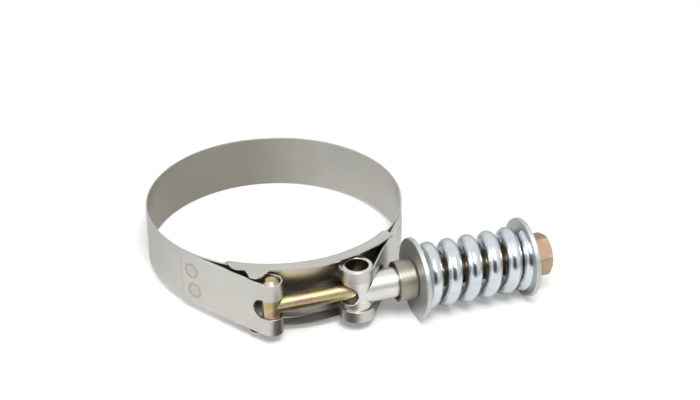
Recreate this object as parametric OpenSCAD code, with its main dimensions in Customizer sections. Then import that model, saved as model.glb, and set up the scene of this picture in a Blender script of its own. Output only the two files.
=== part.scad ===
// Spring loaded T-bolt clamp for an 86 mm hose.
// The origin is the middle of the hose bore, +Z is the bore's axis and the bolt runs along +X.

/* [Band] */
// Outside diameter of the hose that the closed ring grips
hose_d = 86; // [76:0.5:100]
// Width of the strip
band_w = 19.05; // [18:0.05:22]
// Thickness of the strip
band_t = 0.64; // [0.5:0.02:0.8]
// How far below the ring's middle line, in degrees, each side starts to open outwards
depart_deg = 10; // [6:1:14]
// How much larger the radius of the opening sides is than the hose's
side_rise = 3.5; // [3.2:0.1:4]
// Gap between the ring's side and the trunnion's loop
loop_lift = 0.15; // [0.1:0.05:0.5]

/* [Loops] */
// Distance between the axes of the two loops
loop_span = 28.6; // [27:0.2:32]
// Distance of the trunnion's loop from the ring's middle plane
barrel_x = 12.8; // [11:0.2:15]
// Radial play of the cross bar in its loop
bar_play = 0.1; // [0.05:0.01:0.2]
// Radial play of the trunnion's barrel in its loop
barrel_play = 0.12; // [0.05:0.01:0.2]
// Length of strip that lies on the ring at each welded end
lap_l = 4.6; // [4.4:0.1:6]
// Gap between ring and lap beside the weld spots
lap_gap = 0.06; // [0.04:0.01:0.1]
// Corner radius of the strip's two ends
end_round = 2.5; // [1:0.1:4]
// Diameter of a weld spot
weld_d = 3.4; // [3:0.1:3.8]
// Distance of the weld spots from the strip's end
weld_at = 5.5; // [2:0.1:6]
// Distance of each weld spot from the strip's middle
weld_z = 3.8; // [3:0.1:5]

/* [Slots] */
// Height of the slots for the bolt
bolt_slot_h = 6.8; // [6.7:0.1:7.4]
// Reach of the bolt's slot along the outer leaf from the axis of the cross bar
bolt_slot_reach = 4.3; // [4:0.1:8]
// Reach of the bolt's slot along the inner leaf
bolt_slot_back = 3.6; // [3.5:0.1:4.4]
// Play round the trunnion's tube in its slot
tube_slot_play = 0.4; // [0.3:0.05:0.6]
// Extra length of the tube's slot towards the weld
tube_slot_far = 2; // [1:0.2:4]

/* [Bridge] */
// Thickness of the bridge's sheet
bridge_t = 0.5; // [0.4:0.02:0.56]
// Width of its web between the two rolled edges
bridge_w = 20.4; // [20:0.1:21]
// Width of the plain web beside the ears
web_w = 18.4; // [17:0.1:19]
// How far the rolled edges reach outwards from the hose
edge_reach = 5; // [4:0.1:5.4]
// Bend radius inside the rolled edges
edge_bend = 1; // [0.6:0.1:1.2]
// Play between web and band
bridge_play = 0.3; // [0.25:0.01:0.32]
// How far the bridge can shift to each side under the band, in degrees
bridge_shift = 2; // [1:0.5:2]
// Distance of the rolled edges' start from the bridge's bolt end
edge_lead = 1; // [0.5:0.1:2]
// Distance of the ears' middle from the bridge's bolt end
ear_at = 11.6; // [10:0.2:14]
// Width of the ears where they leave the rolled edges
ear_l = 8.4; // [7:0.2:9]
// How far the ears reach past the rolled edges
ear_reach = 4.4; // [3:0.1:4.6]
// Radius of the ears' tips
ear_tip = 2.6; // [2:0.1:3]

/* [T-bolt] */
// Diameter of the cross bar
bar_d = 6; // [5.5:0.1:7]
// Gap between the cross bar's ends and the bridge's rolled edges
bar_gap = 0.25; // [0.2:0.05:0.6]
// Length of the cone at each end of the cross bar
bar_cone = 1.4; // [0.5:0.1:1.8]
// Diameter of the plain shank
shank_d = 5.6; // [5:0.1:5.8]
// Outside diameter of the thread
thread_d = 6.35; // [6:0.05:6.4]
// Length of the thread
thread_l = 58; // [50:0.5:64]
// How far the bolt's end lies inside the nut
bolt_recess = 1.6; // [0.5:0.1:3]

/* [Trunnion] */
// Outside diameter of the barrel
barrel_d = 10.2; // [9.8:0.1:11]
// Length of the barrel
barrel_l = 18.7; // [17:0.1:19]
// Outside diameter of the tube
tube_d = 10; // [9.4:0.1:10]
// Distance from the barrel's axis to the tube's end
tube_reach = 18.3; // [17.5:0.1:22]
// Bore of barrel and tube
bore_d = 7.3; // [7:0.1:7.6]
// Middle of the bolt's window, in front of the barrel's axis
window_x = 4.56; // [4:0.1:5]
// Height of the bolt's window
window_h = 7; // [6.6:0.1:7.4]
// Rounding of the rims
rim_round = 0.45; // [0.2:0.05:0.6]

/* [Guide bush] */
// Wall thickness of the bush
bush_wall = 1.15; // [1.1:0.05:1.6]
// Length of the bush
bush_l = 6.3; // [5:0.1:8]
// Thickness of its floor, between tube and washer
bush_floor = 1; // [0.8:0.1:2]
// Radial play of the bush round the tube
bush_play = 0.5; // [0.3:0.05:0.8]
// Rounding of its outer edge beside the washer
bush_round = 1; // [0.4:0.1:1.1]

/* [Spring and washers] */
// Outside diameter of both washers
washer_d = 26.6; // [24:0.2:30]
// Thickness of both washers
washer_t = 1.6; // [1.2:0.1:2.4]
// Outside diameter of the spring
spring_d = 22; // [21:0.2:24]
// Diameter of the spring wire
wire_d = 5.4; // [4:0.1:5.6]
// Length of the spring between the washers
spring_l = 36.4; // [35:0.1:46]
// Number of turns, the two closed ones included
spring_turns = 6; // [5.5:0.25:7]
// Where the wire starts round the axis, in degrees
spring_phase = 90; // [0:5:360]

/* [Nut] */
// Width of the hexagon across its flats
hex_af = 12.7; // [12:0.1:14]
// Length of the hexagon
hex_l = 7.5; // [6:0.1:9]
// Turn of the hexagon round the bolt, in degrees
hex_turn = 14; // [0:1:59]
// Outside diameter of the sleeve
sleeve_d = 9.4; // [8.6:0.1:10]
// Length of the sleeve from the hexagon
sleeve_l = 30.8; // [24:0.2:32]
// Radial running clearance on the thread
thread_play = 0.06; // [0.02:0.01:0.1]
// Radial play of the sleeve in its washer
sleeve_play = 0.3; // [0.25:0.05:0.4]
// Gap between parts that turn against each other
turn_gap = 0.08; // [0.05:0.01:0.12]

/* [Hidden] */

$fn = 96;
// Extra stock inside the ring that the hose cylinder then removes
bore_stock = 0.2;
// The ring counts as round up to this distance from the hose
bore_blend = 0.05;
// Steps of the strip's outline on the ring and on the tight bends, in degrees
ring_step = 2.5;
loop_step = 10;
// Overshoot of cutting bodies
cut = 1;

hose_r = hose_d / 2;
bar_loop_r = bar_d / 2 + bar_play + band_t / 2;
barrel_loop_r = barrel_d / 2 + barrel_play + band_t / 2;
barrel_loop_out = barrel_loop_r + band_t / 2;
bar_loop_out = bar_loop_r + band_t / 2;

// Each side opens on a larger circle that is tangent to the hose circle
left_depart = 180 + depart_deg;
right_depart = 360 - depart_deg;
open_r = hose_r + side_rise;
left_c = -side_rise * dir(left_depart);
right_c = -side_rise * dir(right_depart);

// The trunnion's loop clears the ring's side by loop_lift, and that sets the bolt's line
loop_far = open_r + band_t / 2 + barrel_loop_r + loop_lift;
loop_off = barrel_x - right_c[0];
bolt_y = right_c[1] - sqrt(loop_far * loop_far - loop_off * loop_off);
bar_x = barrel_x - loop_span;
bar_c = [bar_x, bolt_y];
barrel_c = [barrel_x, bolt_y];

// The strip's middle line as a belt over circles: centre, radius, turn (1 is counterclockwise)
lap_r = open_r + 1.5 * band_t + lap_gap;
lap_deg = lap_l / lap_r * 180 / PI;
weld_deg = weld_at / lap_r * 180 / PI;
belt = [
    [left_c, lap_r, 1],
    [bar_c, bar_loop_r, 1],
    [left_c, open_r + band_t / 2, -1],
    [[0, 0], hose_r + band_t / 2, -1],
    [right_c, open_r + band_t / 2, -1],
    [barrel_c, barrel_loop_r, 1],
    [right_c, lap_r, 1]
];
last = len(belt) - 1;
bar_leaf = heading(0);
bar_inner = heading(1);
barrel_leaf = heading(5);
left_end = bar_leaf - 90 - lap_deg;
right_end = barrel_leaf - 90 + lap_deg;

// The bridge ends where the band's rise leaves room for it, in both of its end positions
bridge_deg = acos(1 - (bridge_t + bridge_play) / side_rise) + bridge_shift;
bridge_start = left_depart + bridge_deg;
bridge_end = right_depart - bridge_deg;
per_mm = 180 / PI / hose_r;
edge_start = bridge_start + edge_lead * per_mm;
ear_deg = bridge_start + ear_at * per_mm;
// The ears are a little thinner than the sheet, so that no faces coincide
ear_inset = 0.04;
edge_h = bridge_w / 2 + bridge_t;
bar_l = bridge_w - 2 * bar_gap;
bush_d = tube_d + 2 * (bush_play + bush_wall);

// Places along the bolt
tube_end = barrel_x + tube_reach;
bush_end = tube_end + bush_floor;
inner_face = bush_end + washer_t;
outer_face = inner_face + spring_l;
hex_face = outer_face + washer_t + 2 * turn_gap;
nut_end = hex_face + hex_l;
bolt_end = nut_end - bolt_recess;
thread_start = bolt_end - thread_l;

wire_r = wire_d / 2;
coil_r = spring_d / 2 - wire_r;
closed_pitch = 1.03 * wire_d;
tip_depth = wire_d / 4;
wire_sides = 12;
rings_per_turn = 24;
spring_rings = ceil(spring_turns * rings_per_turn);
// Sine of the angle at which a wire's own twelve sides meet a flat
wire_flat = sin(90 - 180 / wire_sides);

// Unit vector at an angle
function dir(a) = [cos(a), sin(a)];
// Angle brought into one turn
function one_turn(a) = a - 360 * floor(a / 360);

// Heading of the strip from one belt circle to the next, along their common tangent
function heading(i) =
    let (a = belt[i], b = belt[i + 1], d = b[0] - a[0],
         side = (b[2] * b[1] - a[2] * a[1]) / norm(d))
    atan2(d[1], d[0]) - asin(max(-1, min(1, side)));

// Samples along one belt circle: point, left normal, and stock on the hose's side
function arc_samples(i) =
    let (c = belt[i], turn = c[2],
         from = i == 0 ? left_end : heading(i - 1) - 90 * turn,
         to = i == last ? right_end : heading(i) - 90 * turn,
         sweep = turn * one_turn(turn * (to - from)),
         step = c[1] > hose_r ? ring_step : loop_step,
         n = max(2, ceil(abs(sweep) / step)))
    [for (k = [0 : n])
        let (a = from + sweep * k / n, p = c[0] + c[1] * dir(a), round = norm(p) - band_t / 2)
        [p, -turn * dir(a), round < hose_r + bore_blend ? bore_stock : 0]];

strip = [for (i = [0 : last]) each arc_samples(i)];
strip_outline = concat(
    [for (s = strip) s[0] + s[1] * band_t / 2],
    [for (k = [len(strip) - 1 : -1 : 0])
        strip[k][0] - strip[k][1] * (band_t / 2 + strip[k][2])]);

// Cutting body with one round end: from x = 0 back to x = -l, along y from y0 to y1
module slot_body(l, h, y0, y1) {
    translate([-l + h / 2, y0, -h / 2])
        cube([l - h / 2 + cut, y1 - y0, h]);
    translate([-l + h / 2, y1, 0])
        rotate([90, 0, 0])
            cylinder(d = h, h = y1 - y0);
}

// The bolt's slot: along the outer leaf, the nose and the inner leaf of the left loop
module bar_slot() {
    reach = bar_loop_out + cut;
    translate(bar_c) {
        rotate(bar_leaf)
            slot_body(bolt_slot_reach, bolt_slot_h, -reach, 0);
        rotate(bar_inner)
            mirror([1, 0, 0])
                slot_body(bolt_slot_back, bolt_slot_h, -reach, 0);
        translate([0, -reach, -bolt_slot_h / 2])
            cube([reach, 2 * reach, bolt_slot_h]);
    }
}

// The trunnion's slot: round the nose and along the outer leaf, where the tube goes through
module barrel_slot() {
    reach = barrel_loop_out + cut;
    slot_h = tube_d + 2 * tube_slot_play;
    tilt = barrel_leaf;
    far = (barrel_loop_r * cos(tilt) + tube_d / 2) / sin(tilt) + tube_slot_far - slot_h / 2;
    translate(barrel_c) {
        translate([-reach, -reach, -slot_h / 2])
            cube([reach, 2 * reach, slot_h]);
        rotate(tilt) {
            translate([-reach, -reach, -slot_h / 2])
                cube([far + reach, reach, slot_h]);
            translate([far, 0, 0])
                rotate([90, 0, 0])
                    cylinder(d = slot_h, h = reach);
        }
    }
}

// Rounded corners of one welded end, whose strip runs towards the angle a about c
module end_corners(c, a, turn) {
    leaf_in = lap_r - band_t / 2 - lap_gap / 2;
    translate(c)
        rotate(a)
            for (side = [-1, 1])
                translate([leaf_in, -turn * end_round, side * (band_w / 2 - end_round)])
                    difference() {
                        translate([0, turn > 0 ? 0 : -end_round - cut, side > 0 ? 0 : -end_round - cut])
                            cube([band_t + lap_gap, end_round + cut, end_round + cut]);
                        translate([-cut, 0, 0])
                            rotate([0, 90, 0])
                                cylinder(r = end_round, h = band_t + 3 * cut);
                    }
}

// Weld spots that join ring and lap, at the angle a about c
module welds(c, a) {
    for (side = [-1, 1])
        translate(c)
            rotate(a)
                translate([open_r + 0.4 * band_t, 0, side * weld_z])
                    rotate([0, 90, 0])
                        cylinder(d = weld_d, h = 1.2 * band_t + lap_gap);
}

module band() {
    color([0.80, 0.79, 0.77]) {
        difference() {
            linear_extrude(height = band_w, center = true)
                polygon(strip_outline);
            cylinder(r = hose_r, h = band_w + 2 * cut, center = true, $fn = 240);
            bar_slot();
            barrel_slot();
            end_corners(left_c, left_end, -1);
            end_corners(right_c, right_end, 1);
        }
        welds(left_c, left_end + weld_deg);
        welds(right_c, right_end - weld_deg);
    }
}

// Section of the bridge, a channel that is open outwards, as radius and height
module channel() {
    out_r = edge_bend + bridge_t;
    mid = [hose_r + out_r, edge_h - out_r];
    tip = hose_r + edge_reach;
    half = concat(
        [[tip, edge_h - bridge_t], [tip, edge_h]],
        [for (a = [90 : 15 : 180]) mid + out_r * dir(a)]);
    back = [for (a = [180 : -15 : 90]) mid + edge_bend * dir(a)];
    polygon(concat(
        [for (k = [len(half) - 1 : -1 : 0]) [half[k][0], -half[k][1]]],
        [for (k = [len(back) - 1 : -1 : 0]) [back[k][0], -back[k][1]]],
        back, half));
}

// Ring shaped cutting body above the plain web, between two angles
module edge_trim(from, to) {
    rotate_extrude(start = from, angle = to - from)
        translate([hose_r - cut, web_w / 2])
            square([edge_reach + 2 * cut, bridge_w]);
}

// Ear beside the cross bar, flat with the upper rolled edge
module ear() {
    root = hose_r + edge_bend + 2 * bridge_t;
    side = hose_r + edge_reach - bridge_t;
    tip = hose_r + edge_reach + ear_reach - ear_tip;
    translate([0, 0, edge_h - bridge_t + ear_inset])
        linear_extrude(height = bridge_t - 2 * ear_inset)
            rotate(ear_deg)
                polygon(concat(
                    [[root, -ear_l / 2], [side, -ear_l / 2]],
                    [for (a = [-75 : 15 : 75]) [tip, 0] + ear_tip * dir(a)],
                    [[side, ear_l / 2], [root, ear_l / 2]]));
}

module bridge() {
    round_r = edge_reach + bridge_t;
    round_deg = edge_start + round_r * per_mm;
    color([0.74, 0.73, 0.70]) {
        difference() {
            rotate_extrude(start = bridge_start, angle = bridge_end - bridge_start)
                channel();
            for (side = [0, 1])
                mirror([0, 0, side])
                    difference() {
                        edge_trim(bridge_start - 2, round_deg);
                        rotate(round_deg)
                            translate([hose_r, 0, 0])
                                cylinder(r = round_r, h = bridge_w);
                    }
        }
        ear();
        mirror([0, 0, 1])
            ear();
    }
}

// Moves a turned body from the Z axis to the bolt's axis, starting at x
module on_bolt(x) {
    translate([x, bolt_y, 0])
        rotate([0, 90, 0])
            children();
}

module t_bolt() {
    cone_r = bar_d / 2 - bar_cone;
    color([0.80, 0.67, 0.36]) {
        translate(bar_c)
            rotate_extrude()
                polygon([[0, -bar_l / 2], [cone_r, -bar_l / 2], [bar_d / 2, bar_cone - bar_l / 2],
                         [bar_d / 2, bar_l / 2 - bar_cone], [cone_r, bar_l / 2], [0, bar_l / 2]]);
        on_bolt(bar_x)
            rotate_extrude()
                polygon([[0, 0], [shank_d / 2, 0], [shank_d / 2, thread_start - bar_x],
                         [thread_d / 2, thread_start - bar_x + thread_d - shank_d],
                         [thread_d / 2, bolt_end - bar_x - 0.8],
                         [thread_d / 2 - 0.6, bolt_end - bar_x], [0, bolt_end - bar_x]]);
    }
}

module trunnion() {
    barrel_r = barrel_d / 2;
    tube_r = tube_d / 2;
    top = barrel_l / 2;
    color([0.82, 0.81, 0.78])
        difference() {
            union() {
                translate(barrel_c)
                    rotate_extrude()
                        polygon([[0, -top], [barrel_r - rim_round, -top], [barrel_r, rim_round - top],
                                 [barrel_r, top - rim_round], [barrel_r - rim_round, top], [0, top]]);
                on_bolt(barrel_x)
                    rotate_extrude()
                        polygon([[0, 0], [tube_r, 0], [tube_r, tube_reach - rim_round],
                                 [tube_r - rim_round, tube_reach], [0, tube_reach]]);
            }
            translate([barrel_x, bolt_y, -top - cut])
                cylinder(d = bore_d, h = barrel_l + 2 * cut);
            on_bolt(barrel_x)
                cylinder(d = bore_d - 0.2, h = tube_reach + cut);
            translate([barrel_x - window_x, bolt_y + barrel_r + cut, 0])
                rotate([90, 0, 0])
                    cylinder(d = window_h, h = barrel_d + 2 * cut);
            translate([barrel_x - barrel_r - cut, bolt_y - barrel_r - cut, -window_h / 2])
                cube([barrel_r + cut - window_x, barrel_d + 2 * cut, window_h]);
        }
}

module guide_bush() {
    inner_r = tube_d / 2 + bush_play;
    floor_from = bush_l - bush_floor;
    shoulder = [bush_d / 2 - bush_round, bush_l - bush_round];
    color([0.77, 0.75, 0.69])
        on_bolt(bush_end - bush_l)
            rotate_extrude()
                polygon(concat(
                    [[inner_r, 0], [bush_d / 2 - 0.3, 0], [bush_d / 2, 0.3]],
                    [for (a = [0 : 15 : 90]) shoulder + bush_round * dir(a)],
                    [[bore_d / 2, bush_l], [bore_d / 2, floor_from], [inner_r, floor_from]]));
}

// A flat washer with broken edges from x onwards
module washer(x, hole_r) {
    broken = 0.25;
    r = washer_d / 2;
    on_bolt(x)
        rotate_extrude()
            polygon([[hole_r, 0], [r - broken, 0], [r, broken], [r, washer_t - broken],
                     [r - broken, washer_t], [hole_r, washer_t]]);
}

module inner_washer() {
    color([0.72, 0.75, 0.76])
        washer(bush_end, bore_d / 2);
}

module outer_washer() {
    color([0.72, 0.75, 0.76])
        washer(outer_face + turn_gap, sleeve_d / 2 + sleeve_play);
}

// Place of the wire's middle along the bolt after u turns
function wire_x(u) =
    let (top = spring_l + tip_depth, first = closed_pitch - tip_depth)
    u < 1 ? closed_pitch * u - tip_depth
    : u > spring_turns - 1 ? top - closed_pitch * (spring_turns - u)
    : first + (spring_l - 2 * first) * (u - 1) / (spring_turns - 2);

// Angles round the wire's section: the side that touches an end plane is ground flat
function wire_angles(x) =
    let (low = x < spring_l / 2,
         depth = min(low ? x : spring_l - x, wire_flat * wire_r) / wire_r,
         flat = asin(depth))
    [for (j = [0 : wire_sides - 1])
        low ? -flat + j * (180 + 2 * flat) / (wire_sides - 1)
            : let (k = (j + wire_sides / 2) % wire_sides)
              180 - flat + k * (180 + 2 * flat) / (wire_sides - 1)];

module spring() {
    points = [for (i = [0 : spring_rings])
        let (u = spring_turns * i / spring_rings, x = wire_x(u), turn = spring_phase - 360 * u)
        for (w = wire_angles(x))
            let (r = coil_r + wire_r * cos(w))
            [inner_face + x + wire_r * sin(w), bolt_y + r * cos(turn), r * sin(turn)]];
    color([0.78, 0.81, 0.85])
        polyhedron(points, concat(
            [[for (j = [0 : wire_sides - 1]) j]],
            [for (i = [0 : spring_rings - 1], j = [0 : wire_sides - 1])
                let (a = i * wire_sides, b = a + wire_sides, k = (j + 1) % wire_sides)
                each [[a + j, b + j, b + k], [a + j, b + k, a + k]]],
            [[for (j = [wire_sides - 1 : -1 : 0]) spring_rings * wire_sides + j]]));
}

module sleeve_nut() {
    corner_r = hex_af / sqrt(3);
    over_r = corner_r + cut;
    foot_r = corner_r - 0.4;
    top_r = hex_af / 2 - 0.1;
    slope = tan(30);
    color([0.82, 0.68, 0.34])
        difference() {
            union() {
                on_bolt(hex_face)
                    intersection() {
                        rotate(hex_turn)
                            cylinder(r = corner_r, h = hex_l, $fn = 6);
                        rotate_extrude()
                            polygon([[0, 0], [foot_r, 0], [over_r, (over_r - foot_r) * slope],
                                     [over_r, hex_l - (over_r - top_r) * slope], [top_r, hex_l],
                                     [0, hex_l]]);
                    }
                on_bolt(hex_face - sleeve_l)
                    rotate_extrude()
                        polygon([[0, 0], [sleeve_d / 2 - 0.4, 0], [sleeve_d / 2, 0.4],
                                 [sleeve_d / 2, sleeve_l + hex_l / 2], [0, sleeve_l + hex_l / 2]]);
            }
            on_bolt(hex_face - sleeve_l - cut)
                cylinder(d = thread_d + 2 * thread_play, h = sleeve_l + hex_l + 2 * cut);
        }
}

band();
bridge();
t_bolt();
trunnion();
guide_bush();
inner_washer();
spring();
outer_washer();
sleeve_nut();
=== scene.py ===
"""Looks of a spring loaded T-bolt clamp: smooth dressed pieces on the CAD frame, studio and camera."""

import logging
import math
from dataclasses import dataclass, field
from enum import Enum
from typing import Callable, Sequence

import bpy
import numpy as np
from mathutils import Matrix, Vector

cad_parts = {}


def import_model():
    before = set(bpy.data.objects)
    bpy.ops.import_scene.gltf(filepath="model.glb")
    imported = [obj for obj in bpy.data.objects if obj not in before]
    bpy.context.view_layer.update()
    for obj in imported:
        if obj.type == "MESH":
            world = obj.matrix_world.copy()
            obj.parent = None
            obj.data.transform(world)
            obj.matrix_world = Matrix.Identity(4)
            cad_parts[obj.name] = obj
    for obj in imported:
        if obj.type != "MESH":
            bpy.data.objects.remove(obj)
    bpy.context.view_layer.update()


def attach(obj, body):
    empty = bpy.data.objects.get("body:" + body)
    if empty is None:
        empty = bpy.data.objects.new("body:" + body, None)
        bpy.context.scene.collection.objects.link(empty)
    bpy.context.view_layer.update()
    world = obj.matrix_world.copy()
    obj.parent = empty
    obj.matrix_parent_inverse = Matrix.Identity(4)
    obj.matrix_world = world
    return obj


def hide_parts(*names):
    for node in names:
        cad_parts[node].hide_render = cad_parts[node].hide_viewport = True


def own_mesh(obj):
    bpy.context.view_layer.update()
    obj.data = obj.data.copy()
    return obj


LOG = logging.getLogger("clamp")
MM = 0.001
TINY = 1e-9
Array = np.ndarray
Pair = tuple[float, float]
Triple = tuple[float, float, float]
Outline = tuple[Array, Array]
Socket = bpy.types.NodeSocket
X, Y, Z = np.eye(3)


class Body(Enum):
    """CAD bodies that the pieces ride on."""

    CLAMP = "clamp"
    BRIDGE = "bridge"
    WASHER = "end_washer"
    NUT = "nut"


def direction(deg: float | Array) -> Array:
    """Unit vectors at angles in degrees: cosine and sine on the last axis."""
    a = np.radians(deg)
    return np.stack([np.cos(a), np.sin(a)], axis=-1)


def flat3(xy: Array) -> Array:
    """Plane vectors with a zero third coordinate."""
    return np.concatenate([xy, np.zeros(xy.shape[:-1] + (1,))], axis=-1)


@dataclass(frozen=True)
class Layout:
    """Sizes that several pieces share, in millimetres and degrees, the same as in the CAD part."""

    hose_r: float = 43.0
    band_w: float = 19.05
    band_t: float = 0.64
    depart_deg: float = 10.0
    side_rise: float = 3.5
    loop_lift: float = 0.15
    loop_span: float = 28.6
    barrel_x: float = 12.8
    barrel_loop_r: float = 5.54
    tube_d: float = 10.0
    tube_reach: float = 18.3
    bore_d: float = 7.3
    bush_floor: float = 1.0
    washer_d: float = 26.6
    washer_t: float = 1.6
    spring_l: float = 36.4
    turn_gap: float = 0.08
    nut_travel: float = 5.44
    sleeve_d: float = 9.4

    @property
    def open_r(self) -> float:
        """Radius of the opening sides."""
        return self.hose_r + self.side_rise

    @property
    def side_c(self) -> Array:
        """Centre of the right hand side's circle."""
        return -self.side_rise * direction(-self.depart_deg)

    @property
    def bolt_y(self) -> float:
        """Place of the bolt's line, where the barrel's loop touches the right hand side.

        Returns:
            The second leg of a right triangle below the side's centre.
        """
        far = self.open_r + self.band_t / 2 + self.barrel_loop_r + self.loop_lift
        off = self.barrel_x - self.side_c[0]
        return float(self.side_c[1] - math.sqrt(far * far - off * off))

    @property
    def axis(self) -> Array:
        """Point of the bolt's line in the clamp's middle."""
        return self.bolt_y * Y

    @property
    def bar_x(self) -> float:
        """Place of the cross bar along the bolt."""
        return self.barrel_x - self.loop_span

    @property
    def tube_end(self) -> float:
        """End of the trunnion's tube along the bolt."""
        return self.barrel_x + self.tube_reach

    @property
    def inner_face(self) -> float:
        """Spring side of the inner washer."""
        return self.tube_end + self.bush_floor + self.washer_t

    @property
    def outer_face(self) -> float:
        """Spring side of the outer washer."""
        return self.inner_face + self.spring_l

    @property
    def hex_face(self) -> float:
        """Washer side of the hexagon."""
        return self.outer_face + self.washer_t + 2 * self.turn_gap


S = Layout()


@dataclass
class Patch:
    """One open grid of points with normals and a coordinate along and across it."""

    points: Array
    normals: Array
    uv: Array
    shade: Array | None = None

    @classmethod
    def facing(cls, points: Array, way: Array, uv: Array) -> "Patch":
        """A patch whose normals all point one way."""
        return cls(points, np.broadcast_to(way, points.shape), uv)

    @classmethod
    def border(cls, rows: Sequence[Array], normals: Array, uv: Sequence[Array]) -> "Patch":
        """A narrow patch between two rows of points that share their normals."""
        return cls(np.stack(rows, axis=1), np.stack([normals, normals], axis=1), np.stack(uv, axis=1))

    @classmethod
    def lid(cls, ring: Array, way: Array, along: float = 0.0) -> "Patch":
        """Closes a swept end: the first half of its ring joined to the second half, turned round.

        Args:
            ring: Points round the end, an even number.
            way: Direction that the lid faces, of any length.
            along: Coordinate of the whole lid.

        Returns:
            The lid.
        """
        half = len(ring) // 2
        grid = np.stack([ring[:half], ring[half:][::-1]])
        return cls.facing(grid, way / np.linalg.norm(way), np.full(grid.shape[:2] + (2,), along))

    def rows(self) -> tuple[Array, Array, Array, Array]:
        """Points, normals, coordinates and shade as plain rows."""
        shade = np.zeros(self.points.shape[:2]) if self.shade is None else self.shade
        return self.points.reshape(-1, 3), self.normals.reshape(-1, 3), self.uv.reshape(-1, 2), shade.ravel()

    def faces(self) -> Array:
        """Quads of the grid, turned so that they face the way of the normals.

        Returns:
            Array of vertex indices with four columns, without quads that have no area.
        """
        rows, cols = self.points.shape[:2]
        index = np.arange(rows * cols).reshape(rows, cols)
        quads = np.stack(
            [index[:-1, :-1], index[1:, :-1], index[1:, 1:], index[:-1, 1:]], axis=-1
        ).reshape(-1, 4)
        p, n = self.rows()[:2]
        across = np.cross(p[quads[:, 2]] - p[quads[:, 0]], p[quads[:, 3]] - p[quads[:, 1]])
        if np.sum(across * n[quads].mean(axis=1)) < 0:
            quads = quads[:, ::-1]
        return quads[np.linalg.norm(across, axis=1) > TINY]


def linked(name: str, data: bpy.types.ID) -> bpy.types.Object:
    """A new object in the scene's own collection.

    Args:
        name: Its name.
        data: Its mesh, light or camera.

    Returns:
        The object.
    """
    obj = bpy.data.objects.new(name, data)
    bpy.context.scene.collection.objects.link(obj)
    return obj


@dataclass
class Shape:
    """Patches that become one mesh object."""

    name: str
    patches: list[Patch] = field(default_factory=list)

    def add(self, *patches: Patch) -> "Shape":
        """Adds patches and gives the shape itself back."""
        self.patches.extend(patches)
        return self

    def build(self) -> bpy.types.Object:
        """Makes the mesh object at the origin, in metres.

        Returns:
            The new object.
        """
        faces = []
        count = 0
        for patch in self.patches:
            faces.append(patch.faces() + count)
            count += patch.uv.size // 2
        points, normals, uv, shade = (np.concatenate(part) for part in zip(*(p.rows() for p in self.patches)))
        mesh = bpy.data.meshes.new(self.name)
        mesh.from_pydata((points * MM).tolist(), [], np.concatenate(faces).tolist())
        corner = np.zeros(len(mesh.loops), np.int32)
        mesh.loops.foreach_get("vertex_index", corner)
        layer = mesh.uv_layers.new(name="strip")
        layer.data.foreach_set("uv", uv[corner].astype(np.float32).ravel())
        # mesh attribute that marks where the materials paint shade
        inside = mesh.attributes.new("inside", "FLOAT", "POINT")
        inside.data.foreach_set("value", shade.astype(np.float32))
        mesh.polygons.foreach_set("use_smooth", np.ones(len(mesh.polygons), bool))
        unit = normals / np.maximum(np.linalg.norm(normals, axis=1, keepdims=True), TINY)
        mesh.normals_split_custom_set_from_vertices(unit.tolist())
        mesh.update()
        return linked(self.name, mesh)


def lengths(points: Array) -> Array:
    """Running length along a polyline, from 0: the sum of its steps."""
    steps = np.linalg.norm(np.diff(points, axis=0), axis=-1)
    return np.concatenate([[0.0], np.cumsum(steps)])


def sweep(section: Array, section_normals: Array, origin: Array, axis_a: Array, axis_b: Array, along: Array,
          across: Array | None = None) -> Patch:
    """Carries a plane section along a row of frames: origin + a times the first axis + b times the second.

    Args:
        section: Points of the section, one row for all frames or one row for each frame.
        section_normals: Their outward normals, in either form.
        origin: Origin of each frame, or one for all.
        axis_a: First axis of each frame, or one for all.
        axis_b: Second axis of each frame, or one for all.
        along: Coordinate of each frame for materials.
        across: Coordinate of each section point, or None for the length round the section.

    Returns:
        The swept patch.
    """
    grid = (len(along),) + section.shape[-2:]
    section = np.broadcast_to(section, grid)
    section_normals = np.broadcast_to(section_normals, grid)
    origin, axis_a, axis_b = (v[:, None] for v in np.broadcast_arrays(origin, axis_a, axis_b))
    points = origin + section[..., :1] * axis_a + section[..., 1:] * axis_b
    normals = section_normals[..., :1] * axis_a + section_normals[..., 1:] * axis_b
    if across is None:
        across = lengths(section[0])
    uv = np.stack([np.broadcast_to(v, grid[:2]) for v in (along[:, None], across)], axis=-1)
    return Patch(points, normals, uv)


def rounded(corners: Sequence[Triple], closed: bool = False, steps: int = 5) -> Outline:
    """A polyline whose corners are arcs, tangent to both sides, with normals on the left of its way.

    Args:
        corners: Each corner's two coordinates and its radius.
        closed: Whether the last corner joins the first.
        steps: Parts of each arc.

    Returns:
        Points and normals.
    """
    p = np.array([c[:2] for c in corners], float)
    points, normals = [], []
    last = len(p) - 1
    for i, (_, _, radius) in enumerate(corners):
        ahead = p[(i + 1) % len(p)] - p[i]
        behind = p[i] - p[i - 1]
        if not closed and i in (0, last):
            d = ahead if i == 0 else behind
            points.append(p[i:i + 1])
            normals.append(np.array([[-d[1], d[0]]]) / np.linalg.norm(d))
            continue
        d0 = behind / np.linalg.norm(behind)
        d1 = ahead / np.linalg.norm(ahead)
        turn = math.atan2(d0[0] * d1[1] - d0[1] * d1[0], float(d0 @ d1))
        reach = radius * math.tan(abs(turn) / 2)
        side = np.sign(turn) if turn else 1.0
        centre = p[i] - d0 * reach + side * radius * np.array([-d0[1], d0[0]])
        start = math.atan2(-d0[0] * side, d0[1] * side)
        out = direction(np.degrees(start + turn * np.linspace(0, 1, steps + 1)))
        points.append(centre + radius * out)
        normals.append(-out * side)
    if closed:
        points.append(points[0][:1])
        normals.append(normals[0][:1])
    return np.concatenate(points), np.concatenate(normals)


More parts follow.
